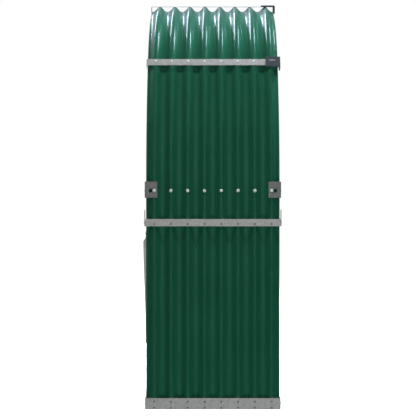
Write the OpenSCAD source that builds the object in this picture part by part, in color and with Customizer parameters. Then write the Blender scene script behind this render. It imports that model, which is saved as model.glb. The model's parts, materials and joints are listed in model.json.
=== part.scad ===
// Narrow free-standing firewood rack: corrugated green back, sides and curved roof on a
// galvanised frame. The back faces -Y, the open front faces +Y, and it stands on z = 0.
// d is the distance forward of the plane of the back's outer crests.

/* [Corrugated sheets] */
// Number of corrugations across the back
waves = 8; // [6:1:10]
// Pitch of the corrugations
pitch = 55; // [44:1:66]
// Depth of a corrugation, crest to valley
wave_depth = 18; // [15:1:22]
// How much narrower the crests are than the valleys, 1 for equal
crest_sharpness = 1.3; // [1:0.1:1.6]
// Thickness of the corrugated sheets
sheet_t = 1; // [0.8:0.1:1.2]
// Gap between the sheets' lower edges and the ground
sheet_lift = 2; // [1:0.5:4]

/* [Side profile] */
// Height of the straight part of the back
straight_h = 735; // [600:1:890]
// Radius of the part of the back that leans forward
lean_r = 1008; // [840:1:1210]
// Angle that the leaning part turns through
lean_angle = 25; // [20:1:30]
// Radius of the roof
roof_r = 430; // [400:1:516]
// Angle of the roof's front edge from upright
roof_end = 77; // [72:1:82]
// How far the roof's front edge stands in front of the posts
overhang = 12; // [8:1:20]
// Length by which the roof sheet laps over the back sheet
roof_lap = 32; // [27:1:45]

/* [Strips and bands] */
// Thickness of the galvanised strips
band_t = 1.5; // [1.2:0.1:2]
// Height of the lowest band
base_band_h = 37; // [32:1:45]
// Width of the middle band, the upper band and the roof strip
band_h = 24; // [20:1:30]
// Height of the middle band's lower edge
middle_z = 600; // [480:1:620]
// How far the bands' ends reach round the corner
flange = 25; // [21:1:30]
// Width of the rail on each side at the hook plates
rail_h = 40; // [33:1:48]

/* [Posts and rails] */
// Length of the posts' inner legs
post_leg = 40; // [34:1:48]
// Length of the front posts' outer lips
post_lip = 20; // [16:1:24]
// Depth of the curved roof rails
rail_leg = 25; // [20:1:30]
// Clearance between pieces that fit side by side
gap = 0.3; // [0.2:0.1:0.5]

/* [Base] */
// Height of the base tray's floor
tray_z = 30; // [24:1:36]
// Thickness of the base tray
tray_t = 1.2; // [1:0.1:1.5]
// Side length of the square foot plates
foot = 40; // [33:1:48]
// Thickness of the foot plates
foot_t = 2; // [1.5:0.5:3]
// Diameter of the ground anchor holes
anchor_d = 9; // [7:0.5:11]
// Diameter of the access holes in the tray above the anchor holes
access_d = 18; // [15:1:22]

/* [Hook plates] */
// Thickness of the hook plates
plate_t = 2; // [1.5:0.5:2.5]
// Height of the hook plates
plate_h = 53; // [44:1:60]
// How far the hook plates' middle stands above their screws
plate_rise = 3; // [0:0.5:5]
// Distance from the corner to the hook plate's inner edge
plate_w = 41.5; // [38:0.5:46]
// Depth of the hook plate's side leg
plate_leg = 34; // [28:1:41]
// Diameter of the keyhole's round opening
keyhole_d = 12.5; // [11:0.5:14]
// Width of the keyhole's slot
keyslot_w = 5; // [4.5:0.5:6]
// Distance from the end screw to the keyhole's round opening
keyhole_run = 11.5; // [11:0.5:13]

/* [Corner guards] */
// Width of the plastic corner guards
guard_w = 50; // [42:1:60]
// Height of the plastic corner guards
guard_h = 38; // [32:1:44]
// Wall of the plastic corner guards
guard_t = 2; // [1.6:0.1:2.5]
// Room under the corner guards for rivet heads
guard_room = 2.4; // [2:0.2:3]

/* [Fasteners] */
// Diameter of the rivets' shanks
rivet_d = 3.2; // [2.6:0.2:4]
// Diameter of the rivets' heads
rivet_head_d = 6.6; // [5.6:0.2:8]
// Height of the rivets' heads
rivet_head_h = 1.6; // [1.2:0.1:1.9]
// Diameter of the rivets' tails
rivet_tail_d = 5; // [4.2:0.2:6]
// Height of the rivets' tails
rivet_tail_h = 1.6; // [1.3:0.1:2]
// Diameter of the screws
screw_d = 4; // [3.2:0.2:4.4]
// Diameter of the screw heads
screw_head_d = 11; // [9:0.5:12]
// Height of the screw heads
screw_head_h = 3.5; // [3:0.5:4.5]
// Distance from the top of the lower back sheet down to the screws
screw_drop = 18; // [15:1:22]
// Width of the nuts across corners
nut_d = 8; // [7:0.2:9.6]
// Height of the nuts
nut_h = 3.2; // [2.6:0.2:4]
// Clearance around shanks in their holes
hole_gap = 0.2; // [0.1:0.1:0.4]

/* [Tie lugs] */
// Height of the tie lugs above the middle band's lower edge
lug_top = 56; // [46:1:66]
// Width of the tie lugs
lug_w = 18; // [15:1:21]
// Thickness of the tie lugs
lug_t = 2; // [1.5:0.5:3]
// Diameter of the holes in the tie lugs
lug_hole_d = 7; // [5.5:0.5:8.5]

/* [Side strap] */
// Height of the strap's lower end
strap_z = 215; // [180:1:250]
// Length of the strap
strap_len = 370; // [310:1:440]
// Width of the strap
strap_w = 20; // [17:1:24]
// Thickness of the strap
strap_t = 1.5; // [1.2:0.1:2]
// How far the strap bows away from the side
strap_bow = 8; // [6:0.5:10]
// Length of the flat foot at each end of the strap
strap_foot = 20; // [17:1:24]
// Distance from the strap's upper end down to the start of its crown
strap_crown = 50; // [45:1:60]
// Length of the strap's flat crown
strap_crown_len = 14; // [12:1:17]

/* [Hidden] */

green = "#124330";
zinc = "#909289";
dark_zinc = "#5f6260";
black = "#101214";
bright = "#949b97";

// Flat facets along one corrugation
steps = 12;
half_w = waves * pitch / 2;
facet = pitch / steps;
lean_c = [lean_r, straight_h];
knee = [lean_r - lean_r * cos(lean_angle), straight_h + lean_r * sin(lean_angle)];
roof_c = [knee.x + roof_r * cos(lean_angle), knee.y - roof_r * sin(lean_angle)];
roof_edge_d = roof_c.x - roof_r * cos(roof_end);
front_d = roof_edge_d - overhang;
// The tighter roof sheet rests on the back sheet at its lower edge and stands off above it
lap_a = arc_deg(roof_lap, roof_r);
centre_gap = lean_r - roof_r;
lap_rise = sqrt(pow(lean_r, 2) - pow(centre_gap * sin(lap_a), 2))
    - centre_gap * cos(lap_a) - roof_r;
roof_lift = sheet_t + lap_rise;
roof_top = roof_r + roof_lift;
back_d = -plate_t - screw_head_h;
foremost_d = roof_c.x - (roof_r - flange) * cos(roof_end);
middle_d = (back_d + foremost_d) / 2;

// Lower back sheet: nested behind the upper one up to the end of the straight part
screw_z = straight_h - screw_drop;
// Inner and outer faces of the sides
valley_x = half_w - wave_depth - sheet_t;
post_x = valley_x - band_t;
post_d = wave_depth + 2 * sheet_t;
side_d = post_d + band_t + 2 * gap;
side_len = front_d - band_t - gap - side_d;
side_waves = round(side_len / pitch);
side_pitch = side_len / side_waves;
band_x = half_w + band_t;
flange_x = band_x + band_t;
guard_x = flange_x + guard_room + guard_t;
base_rows = [base_band_h * 0.7, base_band_h * 0.16];
middle_row = middle_z + band_h / 3;
upper_a = lean_angle - arc_deg(band_h / 3, roof_r);
strip_a = roof_end - arc_deg(band_h / 2, roof_r);
band_a = arc_deg(band_h, roof_r);
plate_z = screw_z - plate_h / 2 + plate_rise;
rail_z = screw_z - rail_h / 2;
foot_x = post_x - gap;
anchor_x = foot_x - foot / 2;
anchor_d0 = side_d + foot / 2;
anchor_d1 = front_d - band_t - gap - foot / 2;
strap_d = side_d + strap_w / 2;
lug_d0 = 2;
flange_rivet_d = 10;

function arc_deg(len, r) = len / r * 180 / PI;
// Height of facet corner i above the valley
function ripple(i) =
    wave_depth * pow((1 - cos(360 * (i + 0.5) / steps) / cos(180 / steps)) / 2, crest_sharpness);
// x of crest number k
function crest_x(k) = -half_w + (k + 0.5) * pitch;
function side_crest_d(k) = side_d + k * side_pitch;
// How far a side's surface lies inwards of its crests, at distance d
function side_depth(d) =
    wave_depth * (1 - pow((1 + cos(360 * (d - side_d) / side_pitch)) / 2, crest_sharpness));
// How far a flat disc of diameter w must stay behind a crest's inner face
function crest_room(w, p) =
    max(0, w / 2 - p / steps / 2) * (ripple(5) - ripple(4)) / (p / steps);

// ---- placing helpers ----

module stand() {
    translate([0, -middle_d, 0]) children();
}

// Turns a 2D section [radius, x] about a sideways axis, from angle a0 to a1 above level
module bend(centre, a0, a1) {
    translate([0, centre.x, centre.y])
        mirror([1, 0, 0])
            rotate([90, 0, -90])
                rotate([0, 0, a0])
                    rotate_extrude(angle = a1 - a0, $fn = 360) children();
}

// Extrudes a 2D side view [d, z] from x0 to x1
module across(x0, x1) {
    translate([x0, 0, 0])
        rotate([90, 0, 90])
            linear_extrude(x1 - x0) children();
}

module rise(z0, z1) {
    translate([0, 0, z0]) linear_extrude(z1 - z0) children();
}

// Puts a child whose own +Z points outwards on the back, a side, or an arc
module on_back(x, d, z) {
    translate([x, d, z]) rotate([90, 0, 0]) children();
}

module on_side(side, x, d, z) {
    translate([side * x, d, z]) rotate([0, side * 90, 0]) children();
}

module on_arc(centre, r, a, x) {
    translate([x, centre.x - r * cos(a), centre.y + r * sin(a)])
        rotate([90 - a, 0, 0]) children();
}

module each_crest() {
    for (k = [0 : waves - 1]) translate([crest_x(k), 0, 0]) children();
}

// A rectangle in [x, d], given by its two corners, mirrored to the side named
module side_rect(side, x0, d0, x1, d1) {
    translate([side > 0 ? x0 : -x1, d0]) square([x1 - x0, d1 - d0]);
}

// ---- corrugated sections ----

// Section [-d, x] of the back and roof; lift moves it outwards
module back_section(lift) {
    n = waves * steps;
    outer = concat(
        [[0, -half_w]],
        [for (i = [0 : n - 1]) [ripple(i), -half_w + (i + 0.5) * facet]],
        [[0, half_w]]
    );
    last = len(outer) - 1;
    inner = [for (i = [last : -1 : 0]) outer[i] - [sheet_t, 0]];
    translate([lift - wave_depth, 0]) polygon(concat(outer, inner));
}

// Section [x, d] of a side, with crests at both ends
module side_section(side) {
    n = side_waves * steps;
    step = side_pitch / steps;
    valley = half_w - wave_depth;
    outer = concat(
        [[half_w, side_d]],
        [for (i = [0 : n - 1]) [valley + ripple(i + steps / 2), side_d + (i + 0.5) * step]],
        [[half_w, side_d + side_len]]
    );
    last = len(outer) - 1;
    inner = [for (i = [last : -1 : 0]) outer[i] - [sheet_t, 0]];
    mirror([side > 0 ? 0 : 1, 0, 0]) polygon(concat(outer, inner));
}

// Side view of the space inside the back and roof, held back by inset
module inside_profile(inset) {
    far = 4 * lean_r;
    union() {
        translate([inset, 0]) square([front_d - inset, straight_h]);
        intersection() {
            translate(lean_c) circle(lean_r - inset, $fn = 360);
            polygon([
                lean_c,
                lean_c - [far, 0],
                lean_c + far * [-cos(lean_angle), sin(lean_angle)]
            ]);
            square([front_d, far]);
        }
        intersection() {
            translate(roof_c) circle(roof_r - inset, $fn = 360);
            polygon([
                roof_c,
                roof_c + far * [-cos(lean_angle), sin(lean_angle)],
                roof_c + far * [-cos(roof_end), sin(roof_end)]
            ]);
            square([front_d, far]);
        }
    }
}

module shank_hole(d) {
    cylinder(d = d + 2 * hole_gap, h = 1.5 * wave_depth, center = true, $fn = 32);
}

// ---- sheets ----

module back_lower_sheet() {
    color(green) stand() difference() {
        rise(sheet_lift, straight_h) rotate(-90) back_section(-sheet_t);
        each_crest() {
            for (z = base_rows) on_back(0, 0, z) shank_hole(rivet_d);
            on_back(0, 0, middle_row) shank_hole(rivet_d);
            on_back(0, 0, screw_z) shank_hole(screw_d);
        }
    }
}

module back_upper_sheet() {
    color(green) stand() difference() {
        union() {
            rise(middle_z + 4, straight_h) rotate(-90) back_section(0);
            bend(lean_c, 0, lean_angle) translate([lean_r, 0]) back_section(0);
        }
        each_crest() {
            on_back(0, 0, middle_row) shank_hole(rivet_d);
            on_back(0, 0, screw_z) shank_hole(screw_d);
            on_arc(roof_c, roof_r, upper_a, 0) shank_hole(rivet_d);
        }
    }
}

module roof_sheet() {
    color(green) stand() difference() {
        bend(roof_c, lean_angle - lap_a, roof_end) {
            translate([roof_r, 0]) back_section(roof_lift);
        }
        each_crest() {
            on_arc(roof_c, roof_r, upper_a, 0) shank_hole(rivet_d);
            on_arc(roof_c, roof_r, strip_a, 0) shank_hole(rivet_d);
        }
    }
}

module side_sheet(side) {
    color(green) stand() difference() {
        intersection() {
            rise(sheet_lift, roof_c.y + roof_r) side_section(side);
            across(-half_w - 1, half_w + 1) inside_profile(side_d);
        }
        side_fastener_places(side) shank_hole(rivet_d);
        if (side < 0) strap_rivet_places() shank_hole(rivet_d);
    }
}

// ---- posts and curved rails ----

// Angle post in a rear corner, reaching from the back sheet's edge to the side's first valley
module rear_post(side) {
    color(zinc) stand() rise(0, straight_h) union() {
        side_rect(side, post_x, post_d, half_w - gap, post_d + band_t);
        side_rect(side, post_x, post_d, valley_x, post_d + post_leg);
    }
}

// Channel post that holds the side sheet's front edge
module front_post(side) {
    color(zinc) stand() difference() {
        intersection() {
            rise(0, roof_c.y + roof_r) union() {
                side_rect(side, post_x, front_d - post_leg, valley_x, front_d);
                side_rect(side, post_x, front_d - band_t, band_x, front_d);
                side_rect(side, half_w, front_d - post_lip, band_x, front_d);
            }
            across(-flange_x, flange_x) inside_profile(wave_depth - lap_rise + gap);
        }
        sill_rivet_places(side) shank_hole(rivet_d);
    }
}

// Side view of a strip that follows the inside of the back and roof, w deep, above the posts
module rail_profile(w) {
    inset = wave_depth + sheet_t;
    intersection() {
        difference() {
            inside_profile(inset);
            inside_profile(inset + w);
        }
        translate([0, straight_h + gap])
            square([front_d - post_leg - 2 * gap, roof_c.y + roof_r - straight_h]);
    }
}

// Curved angle that carries the leaning sheet and the roof along one side
module roof_rail(side) {
    edge_x = half_w - gap;
    color(zinc) stand() mirror([side > 0 ? 0 : 1, 0, 0]) union() {
        across(post_x, edge_x) rail_profile(band_t);
        across(post_x, valley_x) rail_profile(rail_leg);
    }
}

// ---- bands ----

// Strip across the back with an end flange on each side; outer face at d
module back_band(d, z, h) {
    rise(z, z + h) union() {
        translate([-flange_x, d]) square([2 * flange_x, band_t]);
        for (side = [-1, 1]) side_rect(side, band_x, d, flange_x, d + flange);
    }
}

module bottom_band() {
    color(zinc) stand() difference() {
        back_band(sheet_t - band_t, 0, base_band_h);
        each_crest() for (z = base_rows) on_back(0, 0, z) shank_hole(rivet_d);
        for (side = [-1, 1]) flange_rivet_place(side, base_band_h / 2) shank_hole(rivet_d);
    }
}

module middle_band() {
    color(zinc) stand() difference() {
        back_band(-band_t, middle_z, band_h);
        each_crest() on_back(0, 0, middle_row) shank_hole(rivet_d);
        for (side = [-1, 1]) {
            flange_rivet_place(side, middle_z + band_h / 2) shank_hole(rivet_d);
        }
    }
}

// Section [radius, x] of a curved band lying on crests of radius r
module curved_band_section(r) {
    translate([r, -flange_x]) square([band_t, 2 * flange_x]);
    for (x = [-flange_x, band_x]) translate([r + band_t - flange, x]) square([flange, band_t]);
}

module upper_band() {
    color(zinc) stand() difference() {
        bend(roof_c, lean_angle - band_a, lean_angle) curved_band_section(roof_top);
        each_crest() on_arc(roof_c, roof_r, upper_a, 0) shank_hole(rivet_d);
    }
}

module roof_strip() {
    color(zinc) stand() difference() {
        bend(roof_c, roof_end - band_a, roof_end) curved_band_section(roof_top);
        each_crest() on_arc(roof_c, roof_r, strip_a, 0) shank_hole(rivet_d);
    }
}

// Flat strip along one side, lying on the side sheet's crests
module side_band(side, z, h) {
    color(zinc) stand() difference() {
        rise(z, z + h) side_rect(side, half_w, lug_d0, band_x, front_d - post_lip - gap);
        side_fastener_places(side) shank_hole(rivet_d);
        flange_rivet_place(side, z + h / 2) shank_hole(rivet_d);
    }
}

module front_sill() {
    color(zinc) stand() difference() {
        rise(0, base_band_h) union() {
            translate([-flange_x, front_d]) square([2 * flange_x, band_t]);
            for (side = [-1, 1]) {
                side_rect(side, band_x, front_d + band_t - flange, flange_x, front_d + band_t);
            }
        }
        for (side = [-1, 1]) sill_rivet_places(side) shank_hole(rivet_d);
    }
}

// ---- base ----

module each_foot() {
    for (side = [-1, 1]) for (d = [anchor_d0, anchor_d1]) {
        translate([side * anchor_x, d, 0]) children();
    }
}

module base_tray() {
    tray_x = foot_x;
    d0 = side_d;
    d1 = front_d - band_t - gap;
    color(zinc) stand() difference() {
        translate([-tray_x, d0, foot_t]) cube([2 * tray_x, d1 - d0, tray_z - foot_t]);
        translate([-tray_x + tray_t, d0 + tray_t, foot_t - 1])
            cube([2 * (tray_x - tray_t), d1 - d0 - 2 * tray_t, tray_z - foot_t - tray_t + 1]);
        each_foot() cylinder(d = access_d, h = 2 * tray_z, $fn = 48);
    }
}

module foot_plates() {
    color(zinc) stand() each_foot() difference() {
        translate([-foot / 2, -foot / 2, 0]) cube([foot, foot, foot_t]);
        translate([0, 0, -1]) cylinder(d = anchor_d, h = foot_t + 2, $fn = 48);
    }
}

// ---- hook plates and corner guards ----

// Angle plate that hooks over the end screw by a sideways keyhole
module hook_plate(side) {
    screw_x = crest_x(waves - 1);
    outer_x = band_x + plate_t;
    color(dark_zinc) stand() difference() {
        rise(plate_z, plate_z + plate_h) union() {
            side_rect(side, outer_x - plate_w, -plate_t, outer_x, 0);
            side_rect(side, band_x, -plate_t, outer_x, plate_leg);
        }
        on_back(side * (screw_x + keyhole_run), 0, screw_z) {
            cylinder(d = keyhole_d, h = 12, center = true, $fn = 48);
        }
        on_back(side * screw_x, 0, screw_z) {
            cylinder(d = keyslot_w, h = 12, center = true, $fn = 48);
        }
        translate([side > 0 ? screw_x : -screw_x - keyhole_run, -6, screw_z - keyslot_w / 2])
            cube([keyhole_run, 12, keyslot_w]);
        flange_rivet_place(side, screw_z) shank_hole(rivet_d);
    }
}

// Outer section [radius, x] of a guard: a cap with a flange down the side
module guard_section(r) {
    translate([r, guard_x - guard_w]) square([guard_room + guard_t, guard_w]);
    translate([r - guard_w / 2, flange_x])
        square([guard_w / 2 + guard_room + guard_t, guard_room + guard_t]);
}

// Section [radius, x] of the room inside a guard, open towards the band
module guard_room_section(r) {
    translate([r - guard_t, guard_x - guard_w + guard_t])
        square([guard_room + guard_t, guard_w - 2 * guard_t]);
    translate([r - guard_w / 2 - guard_t, flange_x - guard_t])
        square([guard_w / 2 + guard_room + guard_t, guard_room + guard_t]);
}

// Hollow plastic cap over the right-hand end of a curved band
module guard(a_mid) {
    r = roof_top + band_t;
    span = arc_deg(guard_h, roof_r);
    wall_a = arc_deg(guard_t, roof_r);
    color(black) stand() difference() {
        bend(roof_c, a_mid - span / 2, a_mid + span / 2) guard_section(r);
        bend(roof_c, a_mid - span / 2 + wall_a, a_mid + span / 2 - wall_a) {
            guard_room_section(r);
        }
    }
}

module band_guard() {
    guard(lean_angle - band_a / 2);
}

module roof_guard() {
    guard(roof_end - arc_deg(guard_h / 2, roof_r));
}

// ---- fasteners ----

// Blind fastener along +Z: its head sits on z = 0 and its tail behind z = -grip
module stud(shank_d, head_d, head_h, grip, tail_d, tail_h) {
    rotate_extrude($fn = 48) polygon([
        [0, -grip - tail_h],
        [tail_d / 2, -grip - tail_h],
        [tail_d / 2, -grip],
        [shank_d / 2, -grip],
        [shank_d / 2, 0],
        [head_d / 2, 0],
        [head_d / 2 * 0.94, head_h * 0.4],
        [head_d / 2 * 0.72, head_h * 0.8],
        [head_d / 2 * 0.36, head_h * 0.97],
        [0, head_h]
    ]);
}

// Rivet whose tail clears the slope beside a crest of pitch p
module rivet(grip, p) {
    behind = grip + crest_room(rivet_tail_d, p);
    stud(rivet_d, rivet_head_d, rivet_head_h, behind, rivet_tail_d, rivet_tail_h);
}

module lap_screws() {
    color(bright) stand() for (k = [0 : waves - 1]) {
        lift = k == 0 || k == waves - 1 ? plate_t : 0;
        behind = 2 * sheet_t + crest_room(nut_d, pitch) + nut_h + 2;
        on_back(crest_x(k), -lift, screw_z)
            stud(screw_d, screw_head_d, screw_head_h, behind + lift, screw_d * 0.8, 0.6);
    }
}

module lap_nuts() {
    behind = 2 * sheet_t + crest_room(nut_d, pitch);
    color(zinc) stand() each_crest() {
        on_back(0, behind + nut_h, screw_z) difference() {
            cylinder(d = nut_d, h = nut_h, $fn = 6);
            translate([0, 0, -1]) cylinder(d = screw_d + 0.1, h = nut_h + 2, $fn = 32);
        }
    }
}

module bottom_band_rivets() {
    color(dark_zinc) stand() each_crest() for (z = base_rows) {
        on_back(0, sheet_t - band_t, z) rivet(band_t + sheet_t, pitch);
    }
}

module middle_band_rivets() {
    color(dark_zinc) stand() each_crest() {
        on_back(0, -band_t, middle_row) rivet(band_t + 2 * sheet_t, pitch);
    }
}

module upper_band_rivets() {
    color(bright) stand() each_crest() {
        on_arc(roof_c, roof_top + band_t, upper_a, 0)
            rivet(band_t + roof_lift + sheet_t, pitch);
    }
}

module roof_strip_rivets() {
    color(bright) stand() each_crest() {
        on_arc(roof_c, roof_top + band_t, strip_a, 0) rivet(band_t + sheet_t, pitch);
    }
}

// Where a back band's flange is fastened to the side strip under it
module flange_rivet_place(side, z) {
    on_side(side, flange_x, flange_rivet_d, z) children();
}

module corner_rivets() {
    color(zinc) stand() for (side = [-1, 1]) {
        flange_rivet_place(side, base_band_h / 2) rivet(2 * band_t, pitch);
        on_side(side, flange_x + lug_t, flange_rivet_d, middle_z + band_h / 2)
            rivet(2 * band_t + lug_t, pitch);
        on_side(side, band_x + plate_t, flange_rivet_d, screw_z) rivet(band_t + plate_t, pitch);
    }
}

// Crests of a side at the heights of its three strips
module side_fastener_places(side) {
    for (k = [1 : side_waves - 1]) {
        for (z = [base_band_h / 2, middle_z + band_h / 2, rail_z + rail_h / 2]) {
            on_side(side, band_x, side_crest_d(k), z) children();
        }
    }
}

module side_rivets() {
    color(zinc) stand() for (side = [-1, 1]) {
        side_fastener_places(side) rivet(band_t + sheet_t, side_pitch);
    }
}

module sill_rivet_places(side) {
    for (z = [base_band_h * 0.25, base_band_h * 0.75]) {
        translate([side * (post_x + band_x) / 2, front_d + band_t, z])
            rotate([-90, 0, 0]) children();
    }
}

module sill_rivets() {
    color(zinc) stand() for (side = [-1, 1]) {
        sill_rivet_places(side) rivet(2 * band_t, pitch);
    }
}

// ---- side lugs and strap ----

// Tie lugs standing up from the middle band's flanges
module side_lugs() {
    color(zinc) stand() for (side = [-1, 1]) difference() {
        rise(middle_z + gap, middle_z + lug_top)
            side_rect(side, flange_x, lug_d0, flange_x + lug_t, lug_d0 + lug_w);
        flange_rivet_place(side, middle_z + band_h / 2) shank_hole(rivet_d);
        on_side(side, flange_x, lug_d0 + lug_w / 2, middle_z + lug_top - lug_w / 2)
            cylinder(d = lug_hole_d, h = wave_depth, center = true, $fn = 32);
    }
}

// Front view [x, z] of the strap: a flat foot, a long lean outwards and a short return
function strap_line(off) = [
    [-half_w - off, strap_z],
    [-half_w - off, strap_z + strap_foot],
    [-half_w - strap_bow - off, strap_z + strap_len - strap_crown],
    [-half_w - strap_bow - off, strap_z + strap_len - strap_crown + strap_crown_len],
    [-half_w - off, strap_z + strap_len - strap_foot],
    [-half_w - off, strap_z + strap_len]
];

// Upright slab in the plane of the front view, from the side sheets' rear edges forward
module side_slab(depth, outline) {
    translate([0, side_d + depth, 0]) rotate([90, 0, 0]) linear_extrude(depth) polygon(outline);
}

// The strap's rear edge is folded in towards the side and closes the bow
module side_strap() {
    outer = strap_line(strap_t);
    inner = strap_line(0);
    back = len(inner) - 1;
    web = [for (i = [1 : back - 1]) outer[i]];
    color(zinc) stand() difference() {
        union() {
            side_slab(strap_w, concat(outer, [for (i = [back : -1 : 0]) inner[i]]));
            side_slab(strap_t, concat(web, [inner[back - 1], inner[1]]));
        }
        strap_rivet_places() shank_hole(rivet_d);
    }
}

module strap_rivet_places() {
    for (z = [strap_z + strap_foot / 2, strap_z + strap_len - strap_foot / 2]) {
        on_side(-1, half_w + strap_t, strap_d, z) children();
    }
}

module strap_rivets() {
    behind = side_depth(strap_d + rivet_tail_d / 2) + sheet_t;
    color(zinc) stand() strap_rivet_places() {
        stud(rivet_d, rivet_head_d, rivet_head_h, strap_t + behind, rivet_tail_d, rivet_tail_h);
    }
}

back_lower_sheet();
back_upper_sheet();
roof_sheet();
side_sheet(-1);  // left_side_sheet
side_sheet(1);  // right_side_sheet
rear_post(-1);  // left_rear_post
rear_post(1);  // right_rear_post
front_post(-1);  // left_front_post
front_post(1);  // right_front_post
roof_rail(-1);  // left_roof_rail
roof_rail(1);  // right_roof_rail
bottom_band();
middle_band();
upper_band();
roof_strip();
side_band(-1, 0, base_band_h);  // left_bottom_band
side_band(1, 0, base_band_h);  // right_bottom_band
side_band(-1, middle_z, band_h);  // left_middle_band
side_band(1, middle_z, band_h);  // right_middle_band
side_band(-1, rail_z, rail_h);  // left_side_rail
side_band(1, rail_z, rail_h);  // right_side_rail
front_sill();
base_tray();
foot_plates();
hook_plate(-1);  // left_hook_plate
hook_plate(1);  // right_hook_plate
band_guard();
roof_guard();
lap_screws();
lap_nuts();
bottom_band_rivets();
middle_band_rivets();
upper_band_rivets();
roof_strip_rivets();
corner_rivets();
side_rivets();
sill_rivets();
side_lugs();
side_strap();
strap_rivets();
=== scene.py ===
import json
import math

import bmesh
import bpy
from mathutils import Matrix, Vector

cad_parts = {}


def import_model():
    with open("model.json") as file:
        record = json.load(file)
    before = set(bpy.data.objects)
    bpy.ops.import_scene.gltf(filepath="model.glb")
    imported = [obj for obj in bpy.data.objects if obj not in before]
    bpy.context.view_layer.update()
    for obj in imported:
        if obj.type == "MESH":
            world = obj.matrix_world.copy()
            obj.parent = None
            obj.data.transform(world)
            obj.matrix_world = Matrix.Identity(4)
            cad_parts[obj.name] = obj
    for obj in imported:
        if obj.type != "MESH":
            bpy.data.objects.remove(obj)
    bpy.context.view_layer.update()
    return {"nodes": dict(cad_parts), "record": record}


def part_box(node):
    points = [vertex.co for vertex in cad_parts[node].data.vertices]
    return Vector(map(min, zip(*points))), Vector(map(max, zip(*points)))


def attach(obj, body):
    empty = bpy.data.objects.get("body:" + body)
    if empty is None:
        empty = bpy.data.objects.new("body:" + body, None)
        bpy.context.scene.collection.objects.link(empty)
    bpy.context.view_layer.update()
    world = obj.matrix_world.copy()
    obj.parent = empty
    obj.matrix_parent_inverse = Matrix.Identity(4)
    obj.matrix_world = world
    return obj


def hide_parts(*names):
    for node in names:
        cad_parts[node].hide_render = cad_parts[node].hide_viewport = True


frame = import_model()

MM = 0.001

# ---- sizes taken from the frame ----

upper_lo, upper_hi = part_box("back_upper_sheet")
lower_lo, lower_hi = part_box("back_lower_sheet")
side_lo, side_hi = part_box("right_side_sheet")
sill_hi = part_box("front_sill")[1]
base_lo, base_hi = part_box("bottom_band")
middle_lo, middle_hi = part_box("middle_band")
rail_lo, rail_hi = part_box("right_side_rail")
front_post_lo, front_post_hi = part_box("right_front_post")
hook_lo, hook_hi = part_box("right_hook_plate")
screw_lo, screw_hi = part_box("lap_screws")
strap_lo, strap_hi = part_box("side_strap")
lug_lo, lug_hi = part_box("side_lugs")

HALF_W = upper_hi.x
BACK_Y = upper_lo.y
STRAIGHT_H = lower_hi.z
SHEET_T = lower_lo.y - upper_lo.y
WAVE_DEPTH = lower_hi.y - lower_lo.y - SHEET_T
BAND_T = rail_hi.x - rail_lo.x
FLANGE_X = middle_hi.x
FRONT_D = sill_hi.y - BAND_T - BACK_Y
FLANGE = middle_hi.y - middle_lo.y
SCREW_Z = (screw_lo.z + screw_hi.z) / 2
SIDE_D0 = side_lo.y - BACK_Y
SIDE_D1 = side_hi.y - BACK_Y
BAND_H = middle_hi.z - middle_lo.z

# ---- sizes that the frame's boxes don't give ----

WAVES = 8
PITCH = 2 * HALF_W / WAVES
LEAN_R = 1.008
LEAN_ANGLE = math.radians(25)
ROOF_R = 0.430
ROOF_END = math.radians(77)
ROOF_LAP = 32 * MM
CREST_SHARPNESS = 1.3
RIVET_D = 3.2 * MM
RIVET_HEAD_D = 6.6 * MM
RIVET_HEAD_H = 1.6 * MM
GUARD_W = 50 * MM
GUARD_H = 38 * MM
GUARD_WALL = 2 * MM
GUARD_ROOM = 2.4 * MM
GUARD_CORNER_R = 3.2 * MM
FLANGE_RIVET_D = 10 * MM    # from the back's crests to the rivets in the flanges
KEYHOLE_D = 12.5 * MM
KEYSLOT_W = 5 * MM
KEYHOLE_RUN = 11.5 * MM
HOOK_FOLD_R = 3.5 * MM
HOOK_CORNER_R = 1.6 * MM
LUG_HOLE_D = 7 * MM
POST_LIP = 20 * MM
POST_GAP = 0.3 * MM         # between a front post's top and the roof sheet
RAIL_LEG = 25 * MM
RAIL_START = 0.5 * MM       # how far above the straight part the rails start
RAIL_GAP = 1 * MM           # how far behind the end of their CAD box the rails end
RIVET_TAIL_R = 2.4 * MM
SCREW_D = 4 * MM
SCREW_HEAD_D = 11 * MM
SCREW_HEAD_H = 3.5 * MM
NUT_R = 3.95 * MM
STRAP_FOOT = 20 * MM
STRAP_CROWN = 50 * MM       # from the strap's top end down to where its bow is full
STRAP_CROWN_LEN = 14 * MM
FOLD_R = 3 * MM             # outer radius of a folded strip's corners
DENT = 0.35 * MM            # how far a rivet draws a side strip in
DENT_R = 4.5 * MM
BAR_RUN = (14 * MM, 32 * MM)    # the guard bar's two ends, from the guard's left edge
BAR_R = 1.7 * MM
BAR_ABOVE = 5 * MM          # how far above the middle of the guard the bar lies

# how far the fasteners reach behind their heads
SIDE_GRIP = 3.2 * MM
BACK_GRIP = 3.2 * MM
POST_GRIP = 3.7 * MM
LAP_GRIP = 4.2 * MM
ROOF_GRIP = 4.8 * MM
LUG_GRIP = 5.7 * MM
STRAP_GRIP = 7.5 * MM
SCREW_GRIP = 9 * MM

# ---- fineness of the meshes ----

SAMPLES = 28                # points along one corrugation
LOWER_ROWS, UPPER_ROWS = 24, 5
LEAN_ROWS, ROOF_ROWS, SIDE_ROWS = 40, 68, 60
STRIP_ROWS, STRIP_COLUMNS = 16, 220
BAND_STEPS, GUARD_STEPS, RAIL_STEPS, STRAP_STEPS = 8, 10, 24, 120
SHEET_SHARP = 50            # degrees above which a sheet's edge stays sharp
TOUCH = 1e-6                # coordinates nearer than this are the same

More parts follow.
